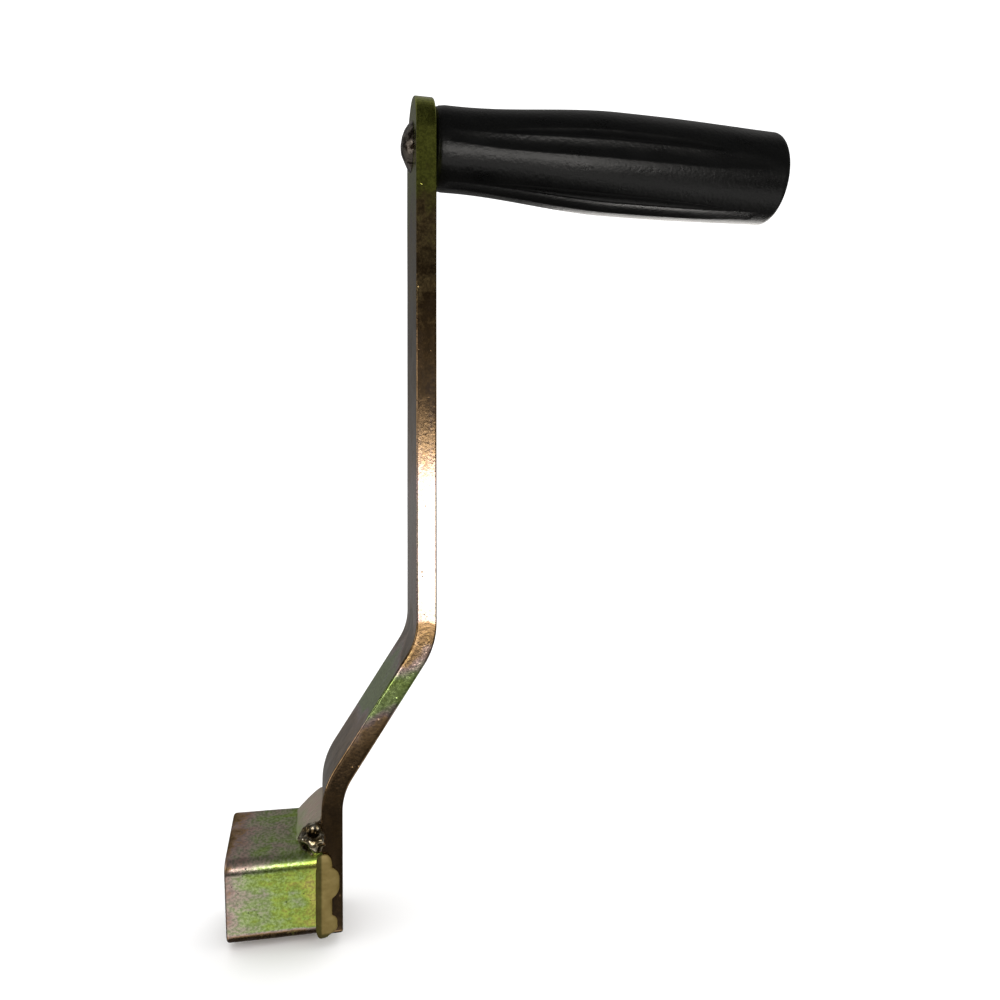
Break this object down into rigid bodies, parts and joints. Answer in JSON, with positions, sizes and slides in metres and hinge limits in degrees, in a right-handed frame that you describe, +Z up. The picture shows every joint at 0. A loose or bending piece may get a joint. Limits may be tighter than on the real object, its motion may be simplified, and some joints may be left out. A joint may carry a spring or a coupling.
{
  "type": "winch and trailer jack crank handle",
  "caption": "Crank handle with a joggled flat-bar arm, a welded square drive socket and a free-turning fluted grip.",
  "frame": {"origin": "on the drive socket's axis, at the arm's face that closes the socket", "axes": "+Z up the arm towards the grip, +X along the grip away from the arm, so the socket's mouth faces -X, +Y across the arm"},
  "size_m": [0.1751, 0.0331, 0.2524],
  "materials": {
    "yellow_zinc_bar": "steel flat bar, zinc plated with an iridescent yellow chromate, olive green to brown with pink patches",
    "yellow_zinc_tube": "steel square tube, zinc plated with an iridescent yellow chromate, yellow green with pink and violet patches",
    "plated_weld": "weld metal plated over with the same chromate, duller and tanner, rough where the bead stops",
    "axle_steel": "bright steel with hammer facets on the riveted end",
    "washer_steel": "plain bright steel",
    "black_plastic": "black moulded plastic, satin, faintly grained"
  },
  "bodies": {
    "crank": {"crank_arm": "yellow_zinc_bar", "drive_socket": "yellow_zinc_tube", "weld_top": "plated_weld", "weld_corner": "plated_weld", "weld_front": "plated_weld", "weld_rear": "plated_weld", "weld_bottom": "plated_weld", "grip_axle": "axle_steel", "head_washer": "washer_steel"},
    "grip": {"grip_sleeve": "black_plastic"}
  },
  "joints": [
    {"name": "grip_spin", "type": "hinge", "parent": "crank", "child": "grip", "pos_m": [0.0912, 0, 0.22], "axis": [1, 0, 0], "continuous": true}
  ]
}
